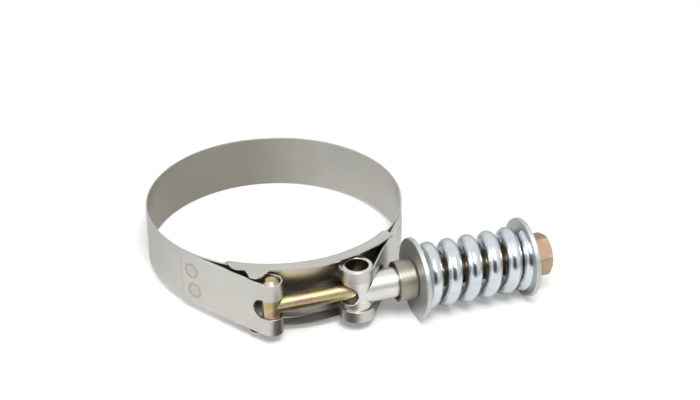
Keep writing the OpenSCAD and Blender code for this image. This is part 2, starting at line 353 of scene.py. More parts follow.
def ring_frames(count: int, first: Array, second: Array) -> Outline:
    """Angles of a full turn in radians, and unit vectors that turn from one direction to another."""
    a = np.linspace(0, 2 * math.pi, count + 1)
    return a, np.cos(a)[:, None] * first + np.sin(a)[:, None] * second


def turned(outline: Outline, centre: Array, axis: Array, count: int = 128) -> Patch:
    """A turned surface: an outline of place and radius carried round an axis.

    Args:
        outline: Points as place along the axis and radius, and their normals.
        centre: A point on the axis.
        axis: Unit vector along the axis, X or Z.
        count: Parts of the turn.

    Returns:
        The turned patch.
    """
    first, second = (Y, Z) if axis is X else (X, Y)
    a, radial = ring_frames(count, first, second)
    return sweep(*outline, centre, axis, radial, a * float(np.max(outline[0][:, 1])))


def branch(centre: Array, main_r: float, r: float, flare: float, end: Outline) -> Patch:
    """A round arm along X that leaves a round upright, with a quarter circle as flare above and below.

    Args:
        centre: Where the two axes meet.
        main_r: Radius of the upright.
        r: Radius of the arm.
        flare: Radius of the flare at the top and bottom. It fades with the squared sine to the sides.
        end: Points and normals of the arm's last stretch, from the centre.

    Returns:
        The arm's surface.
    """
    parts, curve_points, sunk = 96, 9, 0.05
    a, radial = ring_frames(parts, Y, Z)
    join = np.sqrt(main_r**2 - (r * np.cos(a)) ** 2)[:, None]
    bend = flare * np.sin(a)[:, None] ** 2
    out = direction(np.linspace(0, 90, curve_points))
    curve = np.stack([join + bend * (1 - out[:, 0]) - sunk, r + bend * (1 - out[:, 1])], axis=-1)
    rest = np.broadcast_to(end[0], (len(a),) + end[0].shape)
    section = np.concatenate([curve, rest], axis=1)
    return sweep(section, np.concatenate([out, end[1]]), centre, X, radial, a * r)


def split_section(inner: float, outer: float, low: Array, high: Array, slot_round: float, rim_round: float,
                  mirror: bool) -> Outline:
    """Rounded rectangles above a slot, one for each frame, or their mirror images below it.

    Args:
        inner: Lower bound of the first coordinate.
        outer: Upper bound of the first coordinate.
        low: Half height of the slot in each frame.
        high: Half width of the strip in each frame.
        slot_round: Rounding of the slot's edges.
        rim_round: Rounding of the outer edges.
        mirror: Whether the second coordinate is mirrored.

    Returns:
        Points and normals of the closed sections.
    """
    steps = np.linspace(0, 90, 6)
    small = np.minimum(slot_round, low)[:, None]
    big = np.full_like(small, rim_round)
    quarters = [
        (inner + small, low[:, None] + small, small, 180 + steps),
        (outer - small, low[:, None] + small, small, 270 + steps),
        (outer - big, high[:, None] - big, big, steps),
        (inner + big, high[:, None] - big, big, 90 + steps),
    ]
    rows, normals = [], []
    for a, b, r, angles in quarters:
        out = direction(angles)
        rows.append(np.stack([a + r * out[:, 0], b + r * out[:, 1]], axis=-1))
        normals.append(np.broadcast_to(out, rows[-1].shape))
    way = np.array([1.0, -1.0 if mirror else 1.0])
    points = np.concatenate(rows + [rows[0][:, :1]], axis=1) * way
    return points, np.concatenate(normals + [normals[0][:, :1]], axis=1) * way


@dataclass(frozen=True)
class Finish:
    """Look of one metal surface."""

    name: str
    light: Triple
    dark: Triple
    rough: float
    spread: float
    grain: Triple
    bump: float
    slot: str


STRIP = Finish("satin strip", (0.60, 0.59, 0.56), (0.53, 0.52, 0.49), 0.32, 0.10, (0.05, 5.0, 1.0), 0.03,
               "stainless_band")
SHEET = Finish("bright sheet", (0.62, 0.61, 0.57), (0.53, 0.52, 0.48), 0.34, 0.12, (0.08, 3.0, 1.0), 0.02,
               "stainless_bridge")
SATIN = Finish("satin trunnion", (0.74, 0.73, 0.69), (0.69, 0.68, 0.64), 0.32, 0.06, (0.10, 0.25, 1.0), 0.004,
               "trunnion_steel")
WARM = Finish("warm bush", (0.42, 0.39, 0.34), (0.33, 0.305, 0.255), 0.34, 0.06, (0.30, 0.25, 1.0), 0.004,
              "bush_steel")
ZINC = Finish("bright zinc", (0.70, 0.74, 0.77), (0.60, 0.64, 0.67), 0.20, 0.14, (0.5, 0.5, 1.0), 0.04,
              "bright_zinc")
WASHER = Finish("washer zinc", (0.60, 0.63, 0.61), (0.52, 0.55, 0.53), 0.46, 0.10, (0.7, 0.7, 1.0), 0.03,
                "bright_zinc")
YELLOW = Finish("yellow zinc", (0.56, 0.46, 0.28), (0.42, 0.33, 0.18), 0.30, 0.12, (0.4, 0.9, 1.0), 0.05,
                "yellow_zinc")


class Nodes:
    """Short ways to add and join shader nodes in one tree."""

    def __init__(self, tree: bpy.types.NodeTree) -> None:
        """Keeps the tree that the nodes go into."""
        self.tree = tree

    def add(self, kind: str, **values: object) -> bpy.types.Node:
        """Adds a node and sets its properties.

        Args:
            kind: Node type.
            values: Properties by name.

        Returns:
            The node.
        """
        node = self.tree.nodes.new(kind)
        for key, value in values.items():
            setattr(node, key, value)
        return node

    def feed(self, into: Socket, value: object) -> None:
        """Links an output to an input, or sets the input to a number, vector or colour.

        Args:
            into: Input socket.
            value: Output socket or plain value. A colour has three numbers.
        """
        if isinstance(value, Socket):
            self.tree.links.new(value, into)
        elif into.type == "RGBA":
            into.default_value = (*value, 1.0)
        else:
            into.default_value = value

    def math(self, operation: str, a: object, b: object) -> Socket:
        """Adds a math node.

        Args:
            operation: Its operation.
            a: First number or socket.
            b: Second number or socket.

        Returns:
            The result's socket.
        """
        node = self.add("ShaderNodeMath", operation=operation)
        self.feed(node.inputs[0], a)
        self.feed(node.inputs[1], b)
        return node.outputs[0]

    def sum(self, a: Socket, b: Socket, shares: Pair) -> Socket:
        """Adds shares of two values."""
        return self.math("ADD", self.math("MULTIPLY", a, shares[0]), self.math("MULTIPLY", b, shares[1]))

    def vector(self, operation: str, a: Socket, b: Triple) -> Socket:
        """Adds a vector math node.

        Args:
            operation: MULTIPLY, or DISTANCE or DOT_PRODUCT, which give a number.
            a: Coordinate socket.
            b: Three numbers.

        Returns:
            The result's socket.
        """
        node = self.add("ShaderNodeVectorMath", operation=operation)
        self.feed(node.inputs[0], a)
        self.feed(node.inputs[1], b)
        return node.outputs["Vector" if operation == "MULTIPLY" else "Value"]

    def parts(self, place: Socket) -> bpy.types.NodeOutputs:
        """Splits a coordinate.

        Args:
            place: Coordinate socket.

        Returns:
            The sockets X, Y and Z.
        """
        node = self.add("ShaderNodeSeparateXYZ")
        self.feed(node.inputs[0], place)
        return node.outputs

    def range(self, value: Socket, low: float, high: float, to_low: float = 0.0,
              to_high: float = 1.0) -> Socket:
        """Maps a value from one range to another, smoothly and clamped.

        Args:
            value: The value's socket.
            low: Start of the input range.
            high: End of the input range.
            to_low: Result at the start.
            to_high: Result at the end.

        Returns:
            The result's socket.
        """
        node = self.add("ShaderNodeMapRange", interpolation_type="SMOOTHSTEP")
        for socket, number in zip(node.inputs[:5], (value, low, high, to_low, to_high)):
            self.feed(socket, number)
        return node.outputs[0]

    def mix(self, share: object, a: object, b: object) -> Socket:
        """Mixes two colours.

        Args:
            share: Share of the second colour, a number or socket.
            a: First colour or socket.
            b: Second colour or socket.

        Returns:
            The mixed colour's socket.
        """
        node = self.add("ShaderNodeMix", data_type="RGBA")
        share_at, first_at, second_at, colour_at = 0, 6, 7, 2
        for at, value in ((share_at, share), (first_at, a), (second_at, b)):
            self.feed(node.inputs[at], value)
        return node.outputs[colour_at]

    def blend(self, mask: Socket, most: float, colour: Socket, other: Triple) -> Socket:
        """Mixes another colour in where a mask is set, at most by a given share."""
        return self.mix(self.math("MULTIPLY", mask, most), colour, other)

    def inside(self) -> Socket:
        """Socket of the mesh attribute that marks where shade is painted."""
        return self.add("ShaderNodeAttribute", attribute_name="inside").outputs["Fac"]

    def noise(self, place: Socket, scale: float, detail: float, rough: float = 0.55) -> Socket:
        """Adds a noise texture.

        Args:
            place: Coordinate socket.
            scale: Its scale.
            detail: Its detail.
            rough: Its roughness.

        Returns:
            The value's socket.
        """
        node = self.add("ShaderNodeTexNoise")
        for name, value in (("Vector", place), ("Scale", scale), ("Detail", detail), ("Roughness", rough)):
            self.feed(node.inputs[name], value)
        return node.outputs[0]


Tint = Callable[[Nodes, Socket, Socket], tuple[Socket, Socket]]


class SharedGroup:
    """A shader node group that is built once and placed in several materials."""

    NAME = ""
    INPUTS: dict[str, str] = {}
    OUTPUTS: dict[str, str] = {}

    @classmethod
    def wire(cls, n: Nodes, given: bpy.types.NodeOutputs) -> dict[str, Socket]:
        """Adds the group's nodes and gives the socket of each output."""
        raise NotImplementedError

    @classmethod
    def get(cls) -> bpy.types.NodeTree:
        """Makes the group once.

        Returns:
            The group.
        """
        found = bpy.data.node_groups.get(cls.NAME)
        if found:
            return found
        tree = bpy.data.node_groups.new(cls.NAME, "ShaderNodeTree")
        for way, sockets in (("INPUT", cls.INPUTS), ("OUTPUT", cls.OUTPUTS)):
            for name, kind in sockets.items():
                tree.interface.new_socket(name, in_out=way, socket_type=f"NodeSocket{kind}")
        n = Nodes(tree)
        given = n.add("NodeGroupInput").outputs
        result = n.add("NodeGroupOutput").inputs
        for name, socket in cls.wire(n, given).items():
            n.feed(result[name], socket)
        return tree


class SkinGroup(SharedGroup):
    """Grain and faint stains of a metal skin."""

    NAME = "metal skin"
    INPUTS = {"Grain place": "Vector", "Stain place": "Vector", "Light": "Color", "Dark": "Color",
              "Rough": "Float", "Spread": "Float"}
    OUTPUTS = {"Color": "Color", "Roughness": "Float", "Height": "Float"}
    GRAIN, STAIN, SPECK = (1.0, 4.0), (95.0, 3.0), (900.0, 2.0)
    WORN_SHARES, CLOUD_SHARES = (0.55, 0.45), (0.6, 0.4)
    WORN_RANGE, SPECK_HEIGHT = (0.34, 0.68), 0.35

    @classmethod
    def wire(cls, n: Nodes, given: bpy.types.NodeOutputs) -> dict[str, Socket]:
        """Mixes fine grain, broad stains and specks into colour, roughness and height.

        Args:
            n: Node helper.
            given: The group's inputs.

        Returns:
            Socket of each output.
        """
        grain = n.noise(given["Grain place"], *cls.GRAIN)
        stain = n.noise(given["Stain place"], *cls.STAIN)
        speck = n.noise(given["Stain place"], *cls.SPECK)
        worn = n.sum(grain, stain, cls.WORN_SHARES)
        cloud = n.sum(stain, speck, cls.CLOUD_SHARES)
        swing = n.math("MULTIPLY", n.math("SUBTRACT", cloud, 0.5), given["Spread"])
        return {
            "Color": n.mix(n.range(worn, *cls.WORN_RANGE), given["Dark"], given["Light"]),
            "Roughness": n.math("ADD", given["Rough"], swing),
            "Height": n.math("ADD", grain, n.math("MULTIPLY", speck, cls.SPECK_HEIGHT)),
        }


class ZincGroup(SharedGroup):
    """Drifting colours of yellow passivated zinc."""

    NAME = "yellow zinc colours"
    INPUTS = {"Place": "Vector", "Lean": "Float"}
    OUTPUTS = {"Color": "Color"}
    DRIFT = (190.0, 2.5, 0.5)
    STOPS = ((0.34, (0.42, 0.42, 0.13)), (0.43, (0.53, 0.48, 0.20)), (0.49, (0.56, 0.49, 0.29)),
             (0.55, (0.54, 0.34, 0.26)), (0.66, (0.50, 0.34, 0.16)))

    @classmethod
    def wire(cls, n: Nodes, given: bpy.types.NodeOutputs) -> dict[str, Socket]:
        """Runs a slow noise through a ramp from green over gold to pink and brown.

        Args:
            n: Node helper.
            given: The group's inputs.

        Returns:
            Socket of each output.
        """
        drift = n.noise(given["Place"], *cls.DRIFT)
        ramp = n.add("ShaderNodeValToRGB")
        bar = ramp.color_ramp.elements
        while len(bar) < len(cls.STOPS):
            bar.new(0.5)
        for element, (place, colour) in zip(bar, cls.STOPS):
            element.position = place
            element.color = (*colour, 1.0)
        n.feed(ramp.inputs[0], n.math("ADD", drift, given["Lean"]))
        return {"Color": ramp.outputs[0]}


def metal(finish: Finish, tint: Tint | None = None) -> bpy.types.Material:
    """Makes a metal material from a finish.

    Args:
        finish: Its colours, roughness and grain.
        tint: Optional change of colour and height, from the node helper and both sockets.

    Returns:
        The material.
    """
    bump_depth = 0.0004
    material = bpy.data.materials.new(finish.name)
    material.use_nodes = True
    n = Nodes(material.node_tree)
    shader = n.tree.nodes["Principled BSDF"]
    place = n.add("ShaderNodeTexCoord").outputs
    skin = n.add("ShaderNodeGroup", node_tree=SkinGroup.get())
    given = {"Grain place": n.vector("MULTIPLY", place["UV"], finish.grain), "Stain place": place["Object"],
             "Light": finish.light, "Dark": finish.dark, "Rough": finish.rough, "Spread": finish.spread}
    for name, value in given.items():
        n.feed(skin.inputs[name], value)
    colour, height = skin.outputs["Color"], skin.outputs["Height"]
    if tint:
        colour, height = tint(n, colour, height)
    bump = n.add("ShaderNodeBump")
    for name, value in (("Strength", finish.bump), ("Distance", bump_depth), ("Height", height)):
        n.feed(bump.inputs[name], value)
    for name, value in (("Base Color", colour), ("Roughness", skin.outputs["Roughness"]), ("Metallic", 1.0),
                        ("Normal", bump.outputs["Normal"])):
        n.feed(shader.inputs[name], value)
    return material


@dataclass(frozen=True)
class PaintedShadeTint:
    """Paints shade: darkens the faces that the mesh marks for painted shade."""

    most: float
    colour: Triple

    def __call__(self, n: Nodes, colour: Socket, height: Socket) -> tuple[Socket, Socket]:
        """Mixes the painted shade colour in and leaves the height."""
        return n.blend(n.inside(), self.most, colour, self.colour), height


@dataclass(frozen=True)
class YellowTint:
    """Lays the drifting zinc colours and a dull haze over the plain gold."""

    lean: float
    haze: float

    def __call__(self, n: Nodes, colour: Socket, height: Socket) -> tuple[Socket, Socket]:
        """Mixes the colours in.

        Args:
            n: Node helper.
            colour: Colour so far.
            height: Height so far.

        Returns:
            New colour and the same height.
        """
        drift_share, haze_colour = 0.72, (0.30, 0.21, 0.20)
        zinc = n.add("ShaderNodeGroup", node_tree=ZincGroup.get())
        n.feed(zinc.inputs["Place"], n.add("ShaderNodeTexCoord").outputs["Object"])
        n.feed(zinc.inputs["Lean"], self.lean)
        gold = n.mix(drift_share, colour, zinc.outputs["Color"])
        return n.mix(self.haze, gold, haze_colour), height


def place_piece(obj: bpy.types.Object, body: Body, finish: Finish, material: bpy.types.Material,
                *nodes: str) -> bpy.types.Object:
    """Gives a piece its material and its body, and hides the CAD nodes it stands for.

    Args:
        obj: The piece.
        body: Body it rides on.
        finish: Not used.
        material: Its material.
        nodes: CAD nodes that it stands for.

    Returns:
        The piece.
    """
    obj.data.materials.append(material)
    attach(obj, body.value)
    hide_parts(*nodes)
    LOG.info("%s: %d faces", obj.name, len(obj.data.polygons))
    return obj


@dataclass(frozen=True)
class Stretch:
    """One arc of the strip's middle line."""

    centre: Array
    radius: float
    turn: int


@dataclass
class StripPath:
    """Middle line of the band: a belt over circles, joined by common tangents, with its slots."""

    bar_loop_r: float = 3.42
    lap_l: float = 4.6
    lap_gap: float = 0.06
    bolt_slot_h: float = 6.8
    bolt_slot_reach: float = 4.3
    bolt_slot_back: float = 3.6
    tube_slot_h: float = 10.8
    tube_slot_far: float = 2.0

    def __post_init__(self) -> None:
        """Lays out the circles from the left lap to the right one and samples the line."""
        right = S.side_c
        left = right * np.array([-1.0, 1.0])
        self.bar = np.array([S.bar_x, S.bolt_y])
        self.barrel = np.array([S.barrel_x, S.bolt_y])
        lap = S.open_r + 1.5 * S.band_t + self.lap_gap
        side = S.open_r + S.band_t / 2
        ring = S.hose_r + S.band_t / 2
        self.lap_deg = math.degrees(self.lap_l / lap)
        self.circles = [
            Stretch(left, lap, 1),
            Stretch(self.bar, self.bar_loop_r, 1),
            Stretch(left, side, -1),
            Stretch(np.zeros(2), ring, -1),
            Stretch(right, side, -1),
            Stretch(self.barrel, S.barrel_loop_r, 1),
            Stretch(right, lap, 1),
        ]
        self.trace()

    def heading(self, i: int) -> float:
        """Heading of the common tangent from one circle to the next.

        Args:
            i: Number of the first circle.

        Returns:
            The heading in degrees.
        """
        a, b = self.circles[i], self.circles[i + 1]
        d = b.centre - a.centre
        side = (b.turn * b.radius - a.turn * a.radius) / np.linalg.norm(d)
        return math.degrees(math.atan2(d[1], d[0]) - math.asin(max(-1.0, min(1.0, side))))

    def trace(self) -> None:
        """Samples the whole line closely, with left normals and the length at each arc's ends."""
        wide_r, wide_step, tight_step, least_parts = 20.0, 1.0, 4.0, 16
        shortest_gap, gap_step = 0.2, 0.3
        rows: list[Array] = []
        normals: list[Array] = []
        marks: list[tuple[int, int]] = []
        last = len(self.circles) - 1
        for i, c in enumerate(self.circles):
            start = self.heading(0) - 90 - self.lap_deg if i == 0 else self.heading(i - 1) - 90 * c.turn
            end = self.heading(last - 1) - 90 + self.lap_deg if i == last else self.heading(i) - 90 * c.turn
            swing = c.turn * ((c.turn * (end - start)) % 360)
            step = wide_step if c.radius > wide_r else tight_step
            parts = max(least_parts, math.ceil(abs(swing) / step))
            angles = start + swing * np.linspace(0, 1, parts + 1)
            arc = c.centre + c.radius * direction(angles)
            if rows:
                gap = arc[0] - rows[-1][-1]
                far = float(np.linalg.norm(gap))
                if far > shortest_gap:
                    t = np.linspace(0, 1, math.ceil(far / gap_step) + 1)[1:-1]
                    rows.append(rows[-1][-1] + t[:, None] * gap)
                    normals.append(np.broadcast_to(normals[-1][-1], rows[-1].shape))
                else:
                    arc = arc[1:]
                    angles = angles[1:]
            first = sum(len(r) for r in rows)
            rows.append(arc)
            normals.append(-c.turn * direction(angles))
            marks.append((first, first + len(arc) - 1))
        self.points = np.concatenate(rows)
        self.normals = np.concatenate(normals)
        self.s = lengths(self.points)
        self.spans = [(float(self.s[a]), float(self.s[b])) for a, b in marks]

    def bolt_slot(self) -> Array:
        """Half height of the bolt's slot: a straight middle with half circles as ends.

        Returns:
            One value for each sample.
        """
        half = self.bolt_slot_h / 2
        low = self.spans[1][0] - self.bolt_slot_reach + half
        high = self.spans[1][1] + self.bolt_slot_back - half
        past = np.maximum(0, np.maximum(low - self.s, self.s - high))
        return np.sqrt(np.maximum(0, half * half - past * past))

    def slot(self) -> Array:
        """Half height of all slots at each sample: the bolt's, and the tube's with its opening in the loop.

        Returns:
            One value for each sample, 0 where the strip is whole.
        """
        half = self.tube_slot_h / 2
        loop_r = S.barrel_loop_r
        rel = self.points - self.barrel
        at_loop = self.s > self.spans[4][1] - 1
        near = np.linalg.norm(rel, axis=1) < loop_r + 2
        nose = np.where(at_loop & near & (rel[:, 0] < 0), half, 0)
        tilt = math.radians(self.heading(5))
        far = (loop_r * math.cos(tilt) + S.tube_d / 2) / math.sin(tilt) + self.tube_slot_far - half
        place = rel @ np.array([math.cos(tilt), math.sin(tilt)])
        front = rel @ np.array([-math.sin(tilt), math.cos(tilt)]) < 0
        tube = np.sqrt(np.maximum(0, half * half - np.maximum(0, place - far) ** 2))
        tube = np.where(at_loop & front & (place > -loop_r - 1), tube, 0)
        return np.maximum(np.maximum(self.bolt_slot(), nose), tube)


@dataclass
class BandStrip:
    """The folded strip: ring, two loops with their slots, welded laps."""

    path: StripPath = field(default_factory=StripPath)
    end_round: float = 2.5
    slot_round: float = 0.12
    edge_round: float = 0.2
    weld_at: float = 5.5
    weld_z: float = 3.8
    low_mark: Pair = (0.3, 0.0)
    high_mark: Pair = (-0.8, -0.4)
    heat: Triple = (0.35, 0.29, 0.17)
    # painted shade colour for the weld dimples
    dimple_shade: Triple = (0.46, 0.45, 0.43)
    # painted shade colour for the hose side
    painted_inner_shade: Triple = (0.31, 0.287, 0.237)
    # painted shadow colour for the line at the left lap's end
    lap_shadow: Triple = (0.30, 0.29, 0.27)

    def half_width(self) -> Array:
        """Half width along the strip, with quarter circles as corners at its two ends.

        Returns:
            One value for each sample.
        """
        s = self.path.s
        cut = np.maximum(0, self.end_round - np.minimum(s, s[-1] - s))
        return S.band_w / 2 - (self.end_round - np.sqrt(np.maximum(0, self.end_round**2 - cut**2)))

    def build(self) -> bpy.types.Object:
        """Sweeps the upper and lower halves round the slots and closes both ends.

        Returns:
            The strip's object.
        """
        line = self.path
        origin = flat3(line.points)
        radial = origin / np.linalg.norm(origin, axis=1, keepdims=True)
        shape = Shape("band_strip")
        for mirror in (False, True):
            section, normals = split_section(-S.band_t / 2, S.band_t / 2, line.slot(), self.half_width(),
                                             self.slot_round, self.edge_round, mirror)
            patch = sweep(section, normals, origin, flat3(line.normals), Z, line.s)
            patch.uv[..., 1] = section[..., 1]
            # hose-facing faces: the material paints shade on them, darker towards the left
            patch.shade = np.clip(-np.sum(patch.normals * radial[:, None], axis=-1), 0, 1)
            shape.add(patch)
            for end, beside in ((0, 1), (-1, -2)):
                shape.add(Patch.lid(patch.points[end, :-1], origin[end] - origin[beside], line.s[end]))
        return shape.build()

    def welds(self) -> list[Triple]:
        """Places of the weld marks, a pair at each end of the strip, beside the spots of the CAD part.

        Returns:
            Four places as length along the strip, height and 0.
        """
        marks = ((self.low_mark, -self.weld_z), (self.high_mark, self.weld_z))
        places = [(self.weld_at + along, z + up) for (along, up), z in marks]
        return [(s, z, 0.0) for at, z in places for s in (at, float(self.path.s[-1]) - at)]

    def tint(self, n: Nodes, colour: Socket, height: Socket) -> tuple[Socket, Socket]:
        """Adds weld marks, painted shade on the hose side, darker towards the left, and a painted shadow line
        where the left lap ends.

        A mark is a pressed dimple, darkened with painted shade, with a brown ring round it and a brown
        spot in it. Each is a range of the distance from the mark's middle, which a noise makes uneven.

        Args:
            n: Node helper.
            colour: Colour so far.
            height: Height so far.

        Returns:
            New colour and height.
        """
        ring_rise, ring_fall, spot_fall, dip_fall = (1.5, 2.15), (3.15, 2.4), (0.75, 0.35), (1.9, 1.3)
        uneven, uneven_mm, brown_shares, dip_share, dip_height = (700.0, 2.0), 0.9, (0.62, 0.3), 0.35, 3.0
        left_fall, inner_shade_share, lap_fall, lap_shadow_share = (0.032, 0.0), 0.75, (0.55, 0.25), 0.4
        place = n.add("ShaderNodeTexCoord").outputs
        nearest, *others = [n.vector("DISTANCE", place["UV"], spot) for spot in self.welds()]
        for far in others:
            nearest = n.math("MINIMUM", nearest, far)
        wobble = n.math("SUBTRACT", n.noise(place["Object"], *uneven), 0.5)
        edge = n.math("ADD", nearest, n.math("MULTIPLY", wobble, uneven_mm))
        ring = n.math("MULTIPLY", n.range(edge, *ring_rise), n.range(edge, *ring_fall))
        dip = n.range(edge, *dip_fall)
        colour = n.mix(n.sum(ring, n.range(edge, *spot_fall), brown_shares), colour, self.heat)
        # painted shade in the weld dimple: darker grey where it is pressed in
        colour = n.blend(dip, dip_share, colour, self.dimple_shade)
        # painted shade: the hose side darker towards the left, lighter to the right
        left = n.range(n.parts(place["Object"])["X"], *left_fall)
        colour = n.blend(n.math("MULTIPLY", n.inside(), left), inner_shade_share, colour, self.painted_inner_shade)
        # painted shadow: a dark line along the left lap's end
        lap_shadow_mask = n.range(n.parts(place["UV"])["X"], *lap_fall)
        colour = n.blend(lap_shadow_mask, lap_shadow_share, colour, self.lap_shadow)
        return colour, n.math("SUBTRACT", height, n.math("MULTIPLY", dip, dip_height))

    def dress(self) -> None:
        """Builds and finishes the strip."""
        place_piece(self.build(), Body.CLAMP, STRIP, metal(STRIP, self.tint), "band")


@dataclass
class BridgePlate:
    """The floating bridge: a curved channel with rolled edges and flat ears."""

    sheet: float = 0.5
    play: float = 0.3
    shift: float = 2.0
    width: float = 20.4
    web_w: float = 18.4
    edge_reach: float = 5.0
    edge_bend: float = 1.0
    edge_lead: float = 1.0
    ear_at: float = 11.6
    ear_l: float = 8.4
    ear_reach: float = 4.4
    ear_tip: float = 2.6
    ear_sunk: float = 0.04
    # painted shade on the channel's web and lower lip
    tint: PaintedShadeTint = PaintedShadeTint(0.7, (0.15, 0.13, 0.10))

    def angles(self) -> tuple[float, float, float, float]:
        """Start and end of the plate, start of the rolled edges and middle of the ears.

        Returns:
            Four angles in degrees.
        """
        room = math.degrees(math.acos(1 - (self.sheet + self.play) / S.side_rise)) + self.shift
        start = 180 + S.depart_deg + room
        end = 360 - S.depart_deg - room
        per_mm = math.degrees(1 / S.hose_r)
        return start, end, start + self.edge_lead * per_mm, start + self.ear_at * per_mm

    def profile(self) -> Outline:
        """Hose side face of half the channel: flat web, quarter circle bend and lip.

        Returns:
            Points as radius and height from the middle to the lip's edge, and normals.
        """
        web_points, lip_step = 5, 0.9
        out_r = self.edge_bend + self.sheet
        top = self.width / 2 + self.sheet
        bend = direction(np.linspace(180, 90, 10))
        centre = np.array([S.hose_r + out_r, top - out_r])
        rise = np.linspace(0, centre[1], web_points + 1)[:-1]
        flat = np.stack([np.full(web_points, S.hose_r), rise], axis=-1)
        lip = np.array([[S.hose_r + out_r + lip_step, top], [S.hose_r + self.edge_reach, top]])
        points = np.concatenate([flat, centre + out_r * bend, lip])
        normals = np.concatenate([np.tile([-1.0, 0.0], (web_points, 1)), bend, np.tile([0.0, 1.0], (2, 1))])
        return points, normals

    def reach(self, angle: Array) -> Array:
        """Length of sheet from the middle to the edge at each angle: it rises on a quarter circle.

        Args:
            angle: Angles in degrees.

        Returns:
            Developed half widths.
        """
        end_deg, end_share = 1.2, 0.55
        _, end, edges, _ = self.angles()
        full = float(lengths(self.profile()[0])[-1])
        plain = self.web_w / 2
        radius = self.edge_reach + self.sheet
        off = np.clip(radius - (angle - edges) * math.pi / 180 * S.hose_r, 0, None)
        rise = np.sqrt(np.maximum(0, radius**2 - off**2)) - self.sheet
        fall = np.clip((end - angle) / end_deg + end_share, 0, 1)
        return plain + (full - plain) * np.clip(rise / self.edge_reach, 0, 1) * fall

    def ear(self, flip: float) -> list[Patch]:
        """Faces and border of one flat ear: straight sides and a round tip.

        Args:
            flip: 1 for the upper ear, -1 for the lower one.

        Returns:
            The patches.
        """
        root = S.hose_r + self.edge_bend + 2 * self.sheet
        side = S.hose_r + self.edge_reach - self.sheet
        tip = S.hose_r + self.edge_reach + self.ear_reach - self.ear_tip
        half = self.ear_l / 2
        nose = np.array([tip, 0.0]) + self.ear_tip * direction(np.linspace(75, 0, 14))
        rim = np.concatenate([[[root, half], [side, half]], nose])
        share = np.linspace(-1, 1, 13)
        out = flat3(direction(self.angles()[3]))
        across = np.cross(Z, out)
        flat = rim[:, :1, None] * out + (rim[:, 1:] * share)[..., None] * across
        uv = np.stack([np.broadcast_to(rim[:, :1], flat.shape[:2]), rim[:, 1:] * share], axis=-1)
        high = (self.width / 2 + self.sheet - self.ear_sunk) * flip * Z
        low = (self.width / 2 + self.ear_sunk) * flip * Z
        patches = [Patch.facing(flat + high, flip * Z, uv), Patch.facing(flat + low, -flip * Z, uv)]
        for at, way in ((0, -1.0), (-1, 1.0)):
            line = flat[:, at]
            facing = np.cross(np.gradient(line, axis=0), Z)
            facing *= np.sign(np.sum(facing * across, axis=-1, keepdims=True) * way + TINY)
            patches.append(Patch.border([line + high, line + low], facing, [uv[:, at]] * 2))
        return patches

    def rows(self) -> Array:
        """Angles of the plate's rows, close together where its edges rise and at its end.

        Returns:
            Rising angles in degrees.
        """
        start, end, edges, _ = self.angles()
        rise, tail = 9.0, 2.0
        return np.unique(np.concatenate([
            np.linspace(start, edges, 4), edges + rise * np.linspace(0, 1, 30) ** 2,
            np.linspace(edges + rise, end - tail, 60), np.linspace(end - tail, end, 10)]))

    def build(self) -> bpy.types.Object:
        """Makes both faces and the four borders of the plate, and its ears.

        Returns:
            The plate's object.
        """
        shade_w, web_deep, lip_shade = 5.0, 1.2, 0.5
        angle = self.rows()
        points, normals = self.profile()
        s = lengths(points)
        place = self.reach(angle)[:, None] * (s / s[-1])
        face, facing = (np.stack([np.interp(place, s, rows[:, k]) for k in (0, 1)], axis=-1)
                        for rows in (points, normals))
        facing = facing / np.linalg.norm(facing, axis=-1, keepdims=True)
        other = face - facing * self.sheet
        # painted shade: the web's outer face darker round its middle, and the lower lip's face half as dark
        web_shade = np.exp(-((other[..., 1] / shade_w) ** 2)) * (other[..., 0] < S.hose_r + web_deep)
        lip = other[..., 1] > self.width / 2 - 1
        radial = flat3(direction(angle))
        along = angle * math.pi / 180 * S.hose_r
        shape = Shape("bridge_plate")
        for flip in (1.0, -1.0):
            way = np.array([1.0, flip])
            inner = sweep(face * way, facing * way, 0 * Z, radial, Z, along, place[0] * flip)
            outer = sweep(other * way, -facing * way, 0 * Z, radial, Z, along, place[0] * flip)
            outer.shade = web_shade + lip_shade * (flip < 0) * lip
            shape.add(inner, outer, *self.ear(flip))
            edge, rim = inner.points[:, -1], outer.points[:, -1]
            out = np.cross(np.gradient(edge, axis=0), rim - edge)
            out *= np.sign(np.sum(out * (edge - inner.points[:, -2]), axis=-1, keepdims=True))
            shape.add(Patch.border([edge, rim], out, [inner.uv[:, -2], inner.uv[:, -1]]))
            for at, sign in ((0, -1.0), (-1, 1.0)):
                end_points, end_uv = (np.stack([a[at], b[at]], axis=1)
                                      for a, b in ((inner.points, outer.points), (inner.uv, outer.uv)))
                shape.add(Patch.facing(end_points, sign * np.cross(Z, radial[at]), end_uv))
        return shape.build()

    def dress(self) -> None:
        """Builds and finishes the plate."""
        place_piece(self.build(), Body.BRIDGE, SHEET, metal(SHEET, self.tint), "bridge")


